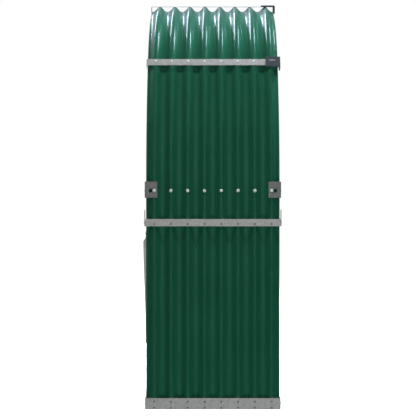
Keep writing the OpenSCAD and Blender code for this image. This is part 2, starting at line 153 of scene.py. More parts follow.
side_waves = round((SIDE_D1 - SIDE_D0) / PITCH)
side_pitch = (SIDE_D1 - SIDE_D0) / side_waves
lean_c = Vector((LEAN_R, STRAIGHT_H))
knee_out = Vector((-math.cos(LEAN_ANGLE), math.sin(LEAN_ANGLE)))
knee = lean_c + LEAN_R * knee_out
roof_c = knee - ROOF_R * knee_out
lap_a = ROOF_LAP / ROOF_R
centre_gap = LEAN_R - ROOF_R
lap_rise = (math.sqrt(LEAN_R ** 2 - (centre_gap * math.sin(lap_a)) ** 2)
            - centre_gap * math.cos(lap_a) - ROOF_R)
roof_lift = SHEET_T + lap_rise
roof_top = ROOF_R + roof_lift
band_a = BAND_H / ROOF_R
crest_xs = [-HALF_W + (k + 0.5) * PITCH for k in range(WAVES)]
BOTH = (-1, 1)              # left and right


# ---- mesh helpers ----

def sided(side, what):
    """Name of the left or right one of a pair."""
    return ("left_" if side < 0 else "right_") + what


def x_reach(lo, hi):
    """Distances of a box's two sides from the middle of the rack, the nearer one first."""
    return sorted((abs(lo.x), abs(hi.x)))


def smooth(mesh, sharp=35):
    """Smooth faces, with sharp edges above the given angle in degrees."""
    mesh.polygons.foreach_set("use_smooth", [True] * len(mesh.polygons))
    mesh.set_sharp_from_angle(angle=math.radians(sharp))


def new_object(name, bm, sharp=35):
    """Turns a bmesh into an object with smooth faces."""
    bmesh.ops.recalc_face_normals(bm, faces=bm.faces)
    mesh = bpy.data.meshes.new(name)
    bm.to_mesh(mesh)
    bm.free()
    smooth(mesh, sharp)
    obj = bpy.data.objects.new(name, mesh)
    bpy.context.scene.collection.objects.link(obj)
    return obj


def soften(obj, width=0.3 * MM, segments=2, angle=40):
    """Rounds an object's sharp edges."""
    bevel = obj.modifiers.new("edges", "BEVEL")
    bevel.width = width
    bevel.segments = segments
    bevel.limit_method = "ANGLE"
    bevel.angle_limit = math.radians(angle)
    bevel.harden_normals = True
    bevel.use_clamp_overlap = True
    return obj


def grid_faces(bm, rows, closed=False):
    """Faces between neighbouring rows of vertices."""
    for a, b in zip(rows, rows[1:]):
        n = len(a)
        for i in range(n if closed else n - 1):
            j = (i + 1) % n
            bm.faces.new((a[i], a[j], b[j], b[i]))


def loft(bm, sections):
    """A closed solid through sections that are loops of the same number of points."""
    rows = [[bm.verts.new(p) for p in s] for s in sections]
    grid_faces(bm, rows, closed=True)
    bm.faces.new(rows[0])
    bm.faces.new(list(reversed(rows[-1])))


def thick_sheet(place, us, vs, faces):
    """A sheet closed all round its rim; place turns (u, v, face) into a point of a face."""
    bm = bmesh.new()
    top, low = ([[bm.verts.new(place(u, v, face)) for u in us] for v in vs] for face in faces)
    grid_faces(bm, top)
    grid_faces(bm, low)
    for a, b in ((top[0], low[0]), (top[-1], low[-1])):
        grid_faces(bm, [a, b])
    for i in (0, -1):
        grid_faces(bm, [[r[i] for r in top], [r[i] for r in low]])
    return bm


def world(x, d, z):
    """A point given by x, the distance forward of the back's crests, and height."""
    return Vector((x, BACK_Y + d, z))


def finish_piece(obj, slot, *nodes, look=None):
    """Gives a piece the material of its slot, or the look given instead, and a parent body, and
    hides the CAD nodes that it stands for.
    """
    obj.data.materials.clear()
    obj.data.materials.append(look or LOOKS[slot])
    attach(obj, "root")
    if nodes:
        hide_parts(*nodes)


# ---- profile of the back and roof ----

def on_straight(z):
    """Point (d, z) of the upright part of the back, and the direction outwards."""
    return Vector((0, z)), Vector((-1, 0))


def on_arc(centre, r, a):
    """Point (d, z) at the angle a of an arc about centre, and the direction outwards."""
    out = Vector((-math.cos(a), math.sin(a)))
    return centre + r * out, out


def spread(a, b, n):
    """Values from a to b in n equal steps."""
    return [a + (b - a) * i / n for i in range(n + 1)]


def ripple(u):
    """Height above the valley at u waves from a valley."""
    return WAVE_DEPTH * ((1 - math.cos(2 * math.pi * u)) / 2) ** CREST_SHARPNESS


def profile_z(d, inset):
    """Height of the profile, moved inwards by inset, above the distance d."""
    if d <= inset:
        return STRAIGHT_H
    turn = lean_c + (LEAN_R - inset) * knee_out
    centre, r = (lean_c, LEAN_R - inset) if d < turn.x else (roof_c, ROOF_R - inset)
    return centre.y + math.sqrt(max(r * r - (centre.x - d) ** 2, 0))


# ---- materials ----

def nodes_of(name):
    """A new material with its node tree and shader."""
    material = bpy.data.materials.new(name)
    material.use_nodes = True
    tree = material.node_tree
    shader = tree.nodes["Principled BSDF"]
    return material, tree, shader


def noise_of(tree, scale, detail, stretch=(1, 1, 1), roughness=0.5):
    """A noise texture in object space, in metres, stretched along the axes."""
    coords = tree.nodes.new("ShaderNodeTexCoord")
    mapping = tree.nodes.new("ShaderNodeMapping")
    mapping.inputs["Scale"].default_value = stretch
    tex = tree.nodes.new("ShaderNodeTexNoise")
    tex.inputs["Scale"].default_value = scale
    tex.inputs["Detail"].default_value = detail
    tex.inputs["Roughness"].default_value = roughness
    tree.links.new(coords.outputs["Object"], mapping.inputs["Vector"])
    tree.links.new(mapping.outputs["Vector"], tex.inputs["Vector"])
    return tex.outputs["Fac"]


def ramp_of(tree, value, stops):
    """A colour ramp with (place, grey or colour) stops."""
    ramp = tree.nodes.new("ShaderNodeValToRGB")
    while len(ramp.color_ramp.elements) < len(stops):
        ramp.color_ramp.elements.new(1)
    for element, (place, colour) in zip(ramp.color_ramp.elements, stops):
        element.position = place
        grey = (colour,) * 3 if isinstance(colour, float) else colour
        element.color = (*grey, 1)
    tree.links.new(value, ramp.inputs["Fac"])
    return ramp.outputs["Color"]


def mix_of(tree, factor, a, b, blend="MIX"):
    """Mixes two colours; factor and the colours may be values or sockets."""
    mix = tree.nodes.new("ShaderNodeMix")
    mix.data_type = "RGBA"
    mix.blend_type = blend
    for key, value in (("Factor", factor), ("A", a), ("B", b)):
        socket = mix.inputs[key]
        if isinstance(value, bpy.types.NodeSocket):
            tree.links.new(value, socket)
        elif socket.type == "RGBA":
            socket.default_value = (*value, 1)
        else:
            socket.default_value = value
    return mix.outputs["Result"]


def bump_of(tree, shader, height, distance, after=None):
    """Bump of a height in metres on the shader's normal, on top of an earlier bump."""
    bump = tree.nodes.new("ShaderNodeBump")
    bump.inputs["Distance"].default_value = distance
    bump.inputs["Strength"].default_value = 1.0
    tree.links.new(height, bump.inputs["Height"])
    if after:
        tree.links.new(after, bump.inputs["Normal"])
    tree.links.new(bump.outputs["Normal"], shader.inputs["Normal"])
    return bump.outputs["Normal"]


def green_coat():
    """Semi-gloss factory coat on corrugated steel, with faint rolling streaks, orange peel and a
    painted highlight on its convex crests and edges.
    """
    deep, fresh = (0.0048, 0.047, 0.0250), (0.0072, 0.060, 0.0325)
    # the last colour here is a painted highlight: a lighter copy of the green for convex crests and
    # edges
    faded, crest_highlight = (0.0095, 0.069, 0.042), (0.03, 0.12, 0.085)
    material, tree, shader = nodes_of("green_coat")
    streaks = noise_of(tree, 26, 5, (9, 9, 0.35))
    blotches = noise_of(tree, 7, 4)
    edge = tree.nodes.new("ShaderNodeNewGeometry")
    base = mix_of(tree, ramp_of(tree, streaks, [(0.3, 0.0), (0.75, 1.0)]), deep, fresh)
    base = mix_of(tree, ramp_of(tree, blotches, [(0.35, 0.0), (0.8, 0.35)]), base, faded)
    # painted highlight: the lighter green is laid on convex crests and sheet edges, picked out by
    # pointiness
    crest_highlight_mask = ramp_of(tree, edge.outputs["Pointiness"], [(0.52, 0.0), (0.6, 0.35)])
    base = mix_of(tree, crest_highlight_mask, base, crest_highlight)
    tree.links.new(base, shader.inputs["Base Color"])
    rough = ramp_of(tree, noise_of(tree, 60, 6, (2, 2, 0.5)), [(0.3, 0.30), (0.7, 0.42)])
    tree.links.new(rough, shader.inputs["Roughness"])
    shader.inputs["Coat Weight"].default_value = 0.7
    shader.inputs["Coat Roughness"].default_value = 0.12
    peel = noise_of(tree, 900, 3)
    sway = noise_of(tree, 9, 2, (1, 1, 0.6))
    first = bump_of(tree, shader, peel, 0.000003)
    bump_of(tree, shader, sway, 0.0004, after=first)
    return material


def zinc(name, low, high, rough_range, spangle_scale=170):
    """Weathered galvanised steel: crystal spangle, fine brushing and dull patches."""
    material, tree, shader = nodes_of(name)
    coords = tree.nodes.new("ShaderNodeTexCoord")
    spangle = tree.nodes.new("ShaderNodeTexVoronoi")
    spangle.inputs["Scale"].default_value = spangle_scale
    spangle.inputs["Randomness"].default_value = 1.0
    tree.links.new(coords.outputs["Object"], spangle.inputs["Vector"])
    grains = tree.nodes.new("ShaderNodeSeparateColor")
    tree.links.new(spangle.outputs["Color"], grains.inputs["Color"])
    base = mix_of(tree, grains.outputs["Red"], low, high)
    patches = ramp_of(tree, noise_of(tree, 22, 6), [(0.35, 0.0), (0.75, 0.5)])
    dull = 0.86  # a dull patch's brightness, as a share of the mean colour's
    base = mix_of(tree, patches, base, tuple(0.5 * (a + b) * dull for a, b in zip(low, high)))
    tree.links.new(base, shader.inputs["Base Color"])
    rough = mix_of(tree, grains.outputs["Green"], *((r,) * 3 for r in rough_range))
    tree.links.new(rough, shader.inputs["Roughness"])
    shader.inputs["Metallic"].default_value = 0.3
    brush = noise_of(tree, 420, 3, (0.25, 0.25, 3))
    first = bump_of(tree, shader, brush, 0.00003)
    bump_of(tree, shader, grains.outputs["Blue"], 0.00002, after=first)
    return material


def plastic():
    """Fine-grained black moulded plastic."""
    material, tree, shader = nodes_of("black_plastic")
    grain = noise_of(tree, 1800, 2)
    dust = ramp_of(tree, noise_of(tree, 45, 6), [(0.4, 0.0), (0.85, 0.3)])
    base = mix_of(tree, dust, (0.030, 0.036, 0.042), (0.07, 0.076, 0.082))
    tree.links.new(base, shader.inputs["Base Color"])
    rough = ramp_of(tree, grain, [(0.3, 0.42), (0.7, 0.58)])
    tree.links.new(rough, shader.inputs["Roughness"])
    bump_of(tree, shader, grain, 0.00008)
    return material


# the material of each slot
LOOKS = {
    "green_coat": green_coat(),
    "zinc": zinc("galvanised", (0.255, 0.264, 0.258), (0.325, 0.335, 0.328), (0.38, 0.5)),
    # painted shade on the rivets of the upright bands; the same dark zinc is also the hook plates'
    # own duller finish
    "dark_zinc": zinc("dull_zinc_and_painted_shade", (0.112, 0.118, 0.116), (0.142, 0.149, 0.147), (0.4, 0.55)),
    # painted highlight: a much lighter copy of the galvanised finish, for fastener heads that catch
    # the light
    "bright_zinc": zinc("bright_zinc", (0.52, 0.56, 0.55), (0.68, 0.72, 0.71), (0.3, 0.4), 500),
    "black_plastic": plastic(),
}


# ---- corrugated sheets ----

def back_sheet(name, stations, lift):
    """A corrugated sheet whose crests follow the stations, moved outwards by lift."""
    def place(x, station, drop):
        point, out = station
        p = point + out * (lift - drop - WAVE_DEPTH + ripple((x + HALF_W) / PITCH))
        return world(x, p.x, p.y)

    xs = spread(-HALF_W, HALF_W, WAVES * SAMPLES)  # the same in each sheet, so that they nest
    bm = thick_sheet(place, xs, stations, (0, SHEET_T))
    finish_piece(new_object(name, bm, SHEET_SHARP), "green_coat", name)


def side_sheet(side):
    """A side sheet with crests at both upright edges, cut off under the roof's curve."""
    def place(d, share, drop):
        z = side_lo.z + share * (profile_z(d, SIDE_D0) - side_lo.z)
        x = HALF_W - WAVE_DEPTH + ripple((d - SIDE_D0) / side_pitch + 0.5) - drop
        return world(side * x, d, z)

    name = sided(side, "side_sheet")
    ds = spread(SIDE_D0, SIDE_D1, side_waves * SAMPLES)
    bm = thick_sheet(place, ds, spread(0, 1, SIDE_ROWS), (0, SHEET_T))
    finish_piece(new_object(name, bm, SHEET_SHARP), "green_coat", name)


back_sheet("back_lower_sheet",
           [on_straight(z) for z in spread(lower_lo.z, STRAIGHT_H, LOWER_ROWS)], -SHEET_T)
back_sheet("back_upper_sheet",
           [on_straight(z) for z in spread(upper_lo.z, STRAIGHT_H, UPPER_ROWS)]
           + [on_arc(lean_c, LEAN_R, a) for a in spread(0, LEAN_ANGLE, LEAN_ROWS)[1:]], 0)
roof_angles = spread(LEAN_ANGLE - lap_a, ROOF_END, ROOF_ROWS)
back_sheet("roof_sheet", [on_arc(roof_c, ROOF_R, a) for a in roof_angles], roof_lift)
for end in BOTH:
    side_sheet(end)


# ---- folded strips ----

def corner(cu, cv, r, a0, a1, n=5):
    """Points of an arc about (cu, cv), from angle a0 to a1 in degrees."""
    return [(cu + r * math.cos(math.radians(a)), cv + r * math.sin(math.radians(a)))
            for a in spread(a0, a1, n)]


def u_loop(half, leg, t):
    """Closed outline of a wide strip with both ends folded: u across, v inwards."""
    r = FOLD_R
    outer = ([(-half, leg)] + corner(-half + r, r, r, 180, 270)
             + corner(half - r, r, r, 270, 360) + [(half, leg)])
    inner = ([(half - t, leg)] + corner(half - r, r, r - t, 360, 270)
             + corner(-half + r, r, r - t, 270, 180) + [(-half + t, leg)])
    return outer + inner


def l_loop(width, leg, t, r=FOLD_R):
    """Closed outline of an angle: u from 0 to width, its leg at u = 0 reaching to v = leg."""
    outer = [(0, leg)] + corner(r, r, r, 180, 270) + [(width, 0)]
    inner = [(width, t)] + corner(r, r, r - t, 270, 180) + [(t, leg)]
    return outer + inner


def straight_loft(name, loop, z0, z1, place):
    """A section carried straight up; place turns (u, v, z) into a point."""
    bm = bmesh.new()
    loft(bm, [[place(u, v, z) for u, v in loop] for z in (z0, z1)])
    return soften(new_object(name, bm))


def roof_sections(loop, r, angles):
    """Sections round the roof's axis of a loop of (x, height above the radius r)."""
    sections = []
    for a in angles:
        section = []
        for x, h in loop:
            p, _ = on_arc(roof_c, r + h, a)
            section.append(world(x, p.x, p.y))
        sections.append(section)
    return sections


band_loop = u_loop(FLANGE_X, FLANGE, BAND_T)


def flat_band(name, front=False):
    """A strip across the back or the front, its ends folded round the corners."""
    lo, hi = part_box(name)
    face, inwards = (hi.y, -1) if front else (lo.y, 1)
    band = straight_loft(name, band_loop, lo.z, hi.z,
                         lambda u, v, z: Vector((u, face + inwards * v, z)))
    finish_piece(band, "zinc", name)


def curved_band(name, a_top):
    """A strip bent to the roof, whose upper edge lies at the angle a_top."""
    bm = bmesh.new()
    loop = [(u, -v) for u, v in band_loop]
    loft(bm, roof_sections(loop, roof_top + BAND_T, spread(a_top - band_a, a_top, BAND_STEPS)))
    finish_piece(soften(new_object(name, bm)), "zinc", name)


flat_band("bottom_band")
flat_band("middle_band")
curved_band("upper_band", LEAN_ANGLE)
curved_band("roof_strip", ROOF_END)
flat_band("front_sill", front=True)


# ---- strips and rails along the sides ----

def side_strip(name):
    """A flat strip along one side with rounded edges, its face drawn in a little at each rivet."""
    lo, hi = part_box(name)
    side = 1 if lo.x > 0 else -1
    face, back = (hi.x, lo.x) if side > 0 else (lo.x, hi.x)
    mid_z = (lo.z + hi.z) / 2
    rivets = [BACK_Y + SIDE_D0 + k * side_pitch for k in range(1, side_waves)]

    def place(y, z, surface):
        x, depth = surface
        near = min(math.hypot(y - r, z - mid_z) for r in rivets)
        return Vector((x - side * depth * math.exp(-(near / DENT_R) ** 2), y, z))

    bm = thick_sheet(place, spread(lo.y, hi.y, STRIP_COLUMNS), spread(lo.z, hi.z, STRIP_ROWS),
                     ((face, DENT), (back, 0)))
    finish_piece(soften(new_object(name, bm), angle=50), "zinc", name)


for end in BOTH:
    for strip in ("bottom_band", "middle_band", "side_rail"):
        side_strip(sided(end, strip))


def angle_post(side):
    """Folded angle in a rear corner."""
    name = sided(side, "rear_post")
    lo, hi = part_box(name)
    inner, outer = x_reach(lo, hi)
    loop = l_loop(outer - inner, hi.y - lo.y, BAND_T)
    post = straight_loft(name, loop, lo.z, hi.z,
                         lambda u, v, z: Vector((side * (inner + u), lo.y + v, z)))
    finish_piece(post, "zinc", name)


def channel_post(side):
    """Folded channel that holds the side sheet's front edge, cut off under the roof."""
    name = sided(side, "front_post")
    lo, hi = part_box(name)
    inner, outer = x_reach(lo, hi)
    leg, r, t = hi.y - lo.y, FOLD_R, BAND_T
    wide = outer - inner
    loop = ([(0, leg)] + corner(r, r, r, 180, 270) + corner(wide - r, r, r, 270, 360)
            + [(wide, POST_LIP), (wide - t, POST_LIP)] + corner(wide - r, r, r - t, 360, 270)
            + corner(r, r, r - t, 270, 180) + [(t, leg)])
    inset = WAVE_DEPTH - lap_rise + POST_GAP

    def place(u, v, f):
        d = FRONT_D - v
        return world(side * (inner + u), d, f * profile_z(d, inset))

    post = straight_loft(name, loop, 0, 1, place)
    finish_piece(post, "zinc", name)


def roof_rail(side):
    """Folded angle that follows the inside of the leaning back and the roof."""
    name = sided(side, "roof_rail")
    lo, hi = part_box(name)
    inner, outer = x_reach(lo, hi)
    inset = WAVE_DEPTH + SHEET_T
    last_d = hi.y - BACK_Y - RAIL_GAP
    end_a = math.acos((roof_c.x - last_d) / (ROOF_R - inset))
    stations = ([on_arc(lean_c, LEAN_R - inset, a)
                 for a in spread(RAIL_START / LEAN_R, LEAN_ANGLE, RAIL_STEPS)]
                + [on_arc(roof_c, ROOF_R - inset, a)
                   for a in spread(LEAN_ANGLE, end_a, RAIL_STEPS)[1:]])
    bm = bmesh.new()
    sections = []
    for point, out in stations:
        section = []
        for u, v in l_loop(outer - inner, RAIL_LEG, BAND_T):
            q = point - out * v
            # the rail's lower front corner stays behind the post
            section.append(world(side * (inner + u), min(q.x, last_d), q.y))
        sections.append(section)
    loft(bm, sections)
    finish_piece(soften(new_object(name, bm)), "zinc", name)


for end in BOTH:
    angle_post(end)
    channel_post(end)
    roof_rail(end)


# ---- fasteners ----

def lathe(bm, matrix, rings, n=28):
    """A closed solid of revolution about +Z, placed by a matrix.

    A ring is (radius, z), or (radius, z, "hex") for a hexagon with that corner radius.
    """
    sixth = math.pi / 3
    rows = []
    for r, z, *form in rings:
        row = []
        for i in range(n):
            a = 2 * math.pi * i / n
            k = math.cos(sixth / 2) / math.cos(a % sixth - sixth / 2) if form else 1
            spot = Vector((r * k * math.cos(a), r * k * math.sin(a), z))
            row.append(bm.verts.new(matrix @ spot))
        rows.append(row)
    grid_faces(bm, rows, closed=True)
    bm.faces.new(list(reversed(rows[0])))
    bm.faces.new(rows[-1])


def facing(point, direction):
    """Places +Z along a direction, at a point."""
    turn = Vector(direction).to_track_quat("Z", "Y").to_matrix().to_4x4()
    return Matrix.Translation(point) @ turn


def arc_place(a, x):
    """A place on the face of a curved band."""
    p, out = on_arc(roof_c, roof_top + BAND_T, a)
    return facing(world(x, p.x, p.y), (0, out.x, out.y))


def rivet_rings(grip):
    """A blind rivet: rolled tail, shank, thin flange, domed head and the mandrel's dimple."""
    s, h, t = RIVET_D / 2, RIVET_HEAD_D / 2, RIVET_HEAD_H
    tail = RIVET_TAIL_R
    return [(tail * 0.6, -grip - 1.5 * MM), (tail, -grip - 1.0 * MM), (tail, -grip - 0.2 * MM),
            (s, -grip), (s, 0), (h, 0), (h, 0.2 * t), (0.95 * h, 0.36 * t), (0.82 * h, 0.62 * t),
            (0.62 * h, 0.85 * t), (0.42 * h, 0.97 * t), (0.3 * h, t), (0.26 * h, 0.96 * t),
            (0.24 * h, 0.6 * t), (0.1 * h, 0.5 * t)]


def screw_rings(grip):
    """A truss-head screw with a hexagon socket."""
    s, h, t = SCREW_D / 2, SCREW_HEAD_D / 2, SCREW_HEAD_H
    return [(0.8 * s, -grip - 0.5 * MM), (s, -grip), (s, 0), (h, 0), (h, 0.18 * t),
            (0.97 * h, 0.34 * t), (0.88 * h, 0.6 * t), (0.72 * h, 0.82 * t), (0.52 * h, 0.96 * t),
            (0.44 * h, t), (0.4 * h, 0.98 * t, "hex"), (0.38 * h, 0.35 * t, "hex"),
            (0.1 * h, 0.25 * t, "hex")]


def studs(name, places, rings_of, slot):
    """One piece for a group of like fasteners; places is a list of (matrix, grip)."""
    bm = bmesh.new()
    for matrix, grip in places:
        lathe(bm, matrix, rings_of(grip))
    finish_piece(new_object(name, bm, sharp=30), slot, name)


def back_places(y, zs, grip):
    """Places on every crest of the back at the given heights."""
    return [(facing((x, y, z), (0, -1, 0)), grip) for x in crest_xs for z in zs]


def rivet_zs(name):
    """Heights of the two outermost rows of a group of rivets."""
    lo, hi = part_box(name)
    return [lo.z + RIVET_HEAD_D / 2, hi.z - RIVET_HEAD_D / 2]


# painted shade: the rivets on the upright bands take the darkened copy of the zinc
studs("bottom_band_rivets",
      back_places(base_lo.y, rivet_zs("bottom_band_rivets"), BACK_GRIP),
      rivet_rings, "dark_zinc")
studs("middle_band_rivets",
      back_places(middle_lo.y, rivet_zs("middle_band_rivets")[:1], LAP_GRIP),
      rivet_rings, "dark_zinc")
# painted highlight: the rivets on the upper band and the roof strip face the light and take the
# lighter copy of the zinc
studs("upper_band_rivets",
      [(arc_place(LEAN_ANGLE - band_a / 3, x), ROOF_GRIP) for x in crest_xs],
      rivet_rings, "bright_zinc")
studs("roof_strip_rivets",
      [(arc_place(ROOF_END - band_a / 2, x), BACK_GRIP) for x in crest_xs],
      rivet_rings, "bright_zinc")

plate_t = -hook_lo.y + BACK_Y
screw_places = []
for crest, x in enumerate(crest_xs):
    lift = plate_t if crest in (0, WAVES - 1) else 0
    screw_places.append((facing((x, BACK_Y - lift, SCREW_Z), (0, -1, 0)), SCREW_GRIP + lift))
# painted highlight: the screw heads take the lighter copy of the zinc
studs("lap_screws", screw_places, screw_rings, "bright_zinc")

nut_lo, nut_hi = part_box("lap_nuts")


def nut_rings(height):
    """A hexagon nut with chamfered ends."""
    r, end = NUT_R, 0.86 * NUT_R
    return [(end, 0), (r, 0.12 * height, "hex"), (r, 0.88 * height, "hex"), (end, height)]


studs("lap_nuts", [(facing((x, nut_hi.y, SCREW_Z), (0, -1, 0)), nut_hi.y - nut_lo.y)
                   for x in crest_xs], nut_rings, "zinc")

side_places = []
for end in BOTH:
    for band in ("bottom_band", "middle_band", "side_rail"):
        lo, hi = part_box("right_" + band)
        for k in range(1, side_waves):
            spot = (end * hi.x, side_lo.y + k * side_pitch, (lo.z + hi.z) / 2)
            side_places.append((facing(spot, (end, 0, 0)), SIDE_GRIP))
studs("side_rivets", side_places, rivet_rings, "zinc")

lug_t = lug_hi.x - FLANGE_X
corner_places = []
for end in BOTH:
    for x, z, grip in ((FLANGE_X, (base_lo.z + base_hi.z) / 2, POST_GRIP),
                       (FLANGE_X + lug_t, (middle_lo.z + middle_hi.z) / 2, LUG_GRIP),
                       (x_reach(hook_lo, hook_hi)[1], SCREW_Z, LAP_GRIP)):
        corner_places.append((facing((end * x, BACK_Y + FLANGE_RIVET_D, z), (end, 0, 0)), grip))
studs("corner_rivets", corner_places, rivet_rings, "zinc")

sill_x = (front_post_lo.x + front_post_hi.x) / 2
studs("sill_rivets", [(facing((end * sill_x, sill_hi.y, z), (0, 1, 0)), POST_GRIP)
                      for end in BOTH for z in rivet_zs("sill_rivets")],
      rivet_rings, "zinc")
strap_rivet_y = (strap_lo.y + strap_hi.y) / 2
studs("strap_rivets",
      [(facing((-HALF_W - BAND_T, strap_rivet_y, z), (-1, 0, 0)), STRAP_GRIP)
       for z in rivet_zs("strap_rivets")], rivet_rings, "zinc")


# ---- plates, lugs, strap and guards ----

def carve(obj, cutter):
    """Cuts one object out of another and throws the cutter away."""
    cut = obj.modifiers.new("cut", "BOOLEAN")
    cut.operation = "DIFFERENCE"
    cut.solver = "EXACT"
    cut.object = cutter
    bpy.context.view_layer.update()
    result = obj.evaluated_get(bpy.context.evaluated_depsgraph_get())
    mesh = bpy.data.meshes.new_from_object(result)
    obj.modifiers.clear()
    obj.data = mesh
    bpy.data.objects.remove(cutter)
    smooth(mesh)


def prism(outline, near, far):
    """A closed solid between two copies of an outline, which near and far turn into points."""
    bm = bmesh.new()
    loft(bm, [[near(p) for p in outline], [far(p) for p in outline]])
    return new_object("cutter", bm)


def keyhole_outline(side):
    """A round opening with a narrow slot from it towards the end screw, as (x, z)."""
    screw_x = crest_xs[-1]
    hole_x = screw_x + KEYHOLE_RUN
    half = math.degrees(math.asin(KEYSLOT_W / KEYHOLE_D))
    round_part = corner(hole_x, SCREW_Z, KEYHOLE_D / 2, -180 + half, 180 - half, 40)
    slot_end = corner(screw_x, SCREW_Z, KEYSLOT_W / 2, 90, 270, 16)
    return [(side * x, z) for x, z in round_part + slot_end]


def hook_plate(side):
    """Folded dark plate with rounded corners and a sideways keyhole."""
    name = sided(side, "hook_plate")
    lo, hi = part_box(name)
    outer, width = x_reach(lo, hi)[1], hi.x - lo.x
    loop = l_loop(width, hi.y - lo.y, plate_t, HOOK_FOLD_R)
    bm = bmesh.new()
    loft(bm, [[Vector((side * (outer - u), lo.y + v, z)) for u, v in loop] for z in (lo.z, hi.z)])

    def at_corner(edge):
        """True for the short edges at the plate's free corners."""
        a, b = (v.co for v in edge.verts)
        level = abs(a.z - b.z) < TOUCH
        inner_end = all(abs(abs(p.x) - (outer - width)) < TOUCH for p in (a, b))
        flange_end = all(abs(p.y - hi.y) < TOUCH for p in (a, b))
        return level and (inner_end or flange_end)

    corners = [e for e in bm.edges if at_corner(e)]
    bmesh.ops.bevel(bm, geom=corners, offset=HOOK_CORNER_R, segments=4, profile=0.5,
                    affect="EDGES")
    plate = new_object(name, bm)
    past = 5 * MM  # how far the cutter goes past both faces
    carve(plate, prism(keyhole_outline(side),
                       lambda p: Vector((p[0], lo.y - past, p[1])),
                       lambda p: Vector((p[0], lo.y + plate_t + past, p[1]))))
    finish_piece(soften(plate, 0.35 * MM), "dark_zinc", name)


for end in BOTH:
    hook_plate(end)


def tie_lugs():
    """Two lugs with rounded tops and a hole, standing up from the middle band's flanges."""
    joined = bmesh.new()
    width = lug_hi.y - lug_lo.y
    mid_y = (lug_hi.y + lug_lo.y) / 2
    centre_z = lug_hi.z - width / 2
    outline = ([(lug_hi.y, lug_lo.z)] + corner(mid_y, centre_z, width / 2, 0, 180, 20)
               + [(lug_lo.y, lug_lo.z)])
    hole = corner(mid_y, centre_z, LUG_HOLE_D / 2, 0, 360, 32)[:-1]
    cut_from, cut_to = 200 * MM, 250 * MM  # distances from the middle, past both faces
    for side in BOTH:
        lug = prism(outline,
                    lambda p: Vector((side * FLANGE_X, p[0], p[1])),
                    lambda p: Vector((side * (FLANGE_X + lug_t), p[0], p[1])))
        carve(lug, prism(hole,
                         lambda p: Vector((side * cut_from, p[0], p[1])),
                         lambda p: Vector((side * cut_to, p[0], p[1]))))
        joined.from_mesh(lug.data)
        bpy.data.objects.remove(lug)
    finish_piece(soften(new_object("side_lugs", joined), 0.4 * MM), "zinc", "side_lugs")


tie_lugs()


def bowed_strap():
    """Strap riveted at both ends and bowed away from the side, its rear edge folded inwards."""
    bow = -strap_lo.x - BAND_T - HALF_W
    length = strap_hi.z - strap_lo.z
    foot, t = STRAP_FOOT, BAND_T
    crown = length - STRAP_CROWN
    flat = length - (STRAP_CROWN - STRAP_CROWN_LEN)
    bm = bmesh.new()
    sections = []
    for s in spread(0, length, STRAP_STEPS):
        if s < foot or s > length - foot:
            out = 0.0
        elif s < crown:
            out = bow * (s - foot) / (crown - foot)
        elif s < flat:
            out = bow
        else:
            out = bow * (0.5 + 0.5 * math.cos(math.pi * (s - flat) / (length - foot - flat)))
        x = -HALF_W - out
        # the ends taper: each edge draws in by a seventh of the width
        narrow = min(1, math.sqrt(max(min(s, length - s), 0.4 * MM) / (4 * MM)))
        shy = (strap_hi.y - strap_lo.y) * 0.2 * (1 - narrow)
        y0, y1 = strap_lo.y + shy, strap_hi.y - shy
        z = strap_lo.z + s
        # at the feet the fold stands just proud of the strap, so that no points coincide
        web = max(-HALF_W, x + 0.05 * MM)
        sections.append([Vector(q) for q in ((web, y0, z), (x - t, y0, z), (x - t, y1, z),
                                             (x, y1, z), (x, y0 + t, z), (web, y0 + t, z))])
    loft(bm, sections)
    finish_piece(soften(new_object("side_strap", bm)), "zinc", "side_strap")


bowed_strap()


def corner_guard(name, a_mid, mark):
    """Moulded cap over the right-hand end of a curved band, hollow towards the band."""
    half_a = GUARD_H / ROOF_R / 2
    r0 = roof_top + BAND_T
    rise = GUARD_ROOM + GUARD_WALL
    x1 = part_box(name)[1].x
    x0 = x1 - GUARD_W

    def loop(wall):
        """Cap outline (x, height above the band), going down the side as a flange."""
        r = GUARD_CORNER_R - wall * 0.8
        low = -GUARD_W / 2 - (GUARD_WALL if wall else 0)
        under = -GUARD_WALL if wall else 0
        left, right, top = x0 + wall, x1 - wall, rise - wall
        return ([(left, under), (left, top - r)] + corner(left + r, top - r, r, 180, 90)
                + corner(right - r, top - r, r, 90, 0)
                + [(right, low), (FLANGE_X + under, low), (FLANGE_X + under, under)])

    def shell(wall, a_low, a_high, label):
        bm = bmesh.new()
        loft(bm, roof_sections(loop(wall), r0, spread(a_low, a_high, GUARD_STEPS)))
        return new_object(label, bm)

    guard = shell(0, a_mid - half_a, a_mid + half_a, name)
    trim = GUARD_WALL / ROOF_R
    carve(guard, shell(GUARD_WALL, a_mid - half_a + trim, a_mid + half_a - trim, "room"))
    finish_piece(soften(guard, 0.6 * MM, 3), "black_plastic", name)
    if mark:
        mould_mark(x0, r0 + rise, a_mid)


def mould_mark(x0, r, a_mid):
    """A plain low bar with rounded ends, moulded on the guard's face."""
    left, right = (x0 + run for run in BAR_RUN)
    middle = (left + right) / 2
    outline = corner(right, 0, BAR_R, 90, -90, 10) + corner(left, 0, BAR_R, -90, -270, 10)
    bm = bmesh.new()
    sections = []
    for rise, shrink in ((-0.3 * MM, 1), (0.3 * MM, 1), (0.55 * MM, 0.8)):
        shorten = 1 - (1 - shrink) * 0.1
        section = []
        for x, h in outline:
            p, _ = on_arc(roof_c, r + rise, a_mid + (h * shrink + BAR_ABOVE) / r)
            section.append(world(middle + (x - middle) * shorten, p.x, p.y))
        sections.append(section)
    loft(bm, sections)
    finish_piece(new_object("guard_bar", bm), "black_plastic", look=LOOKS["zinc"])


corner_guard("band_guard", LEAN_ANGLE - band_a / 2, True)
corner_guard("roof_guard", ROOF_END - GUARD_H / 2 / ROOF_R, False)


# ---- carried-over nodes ----

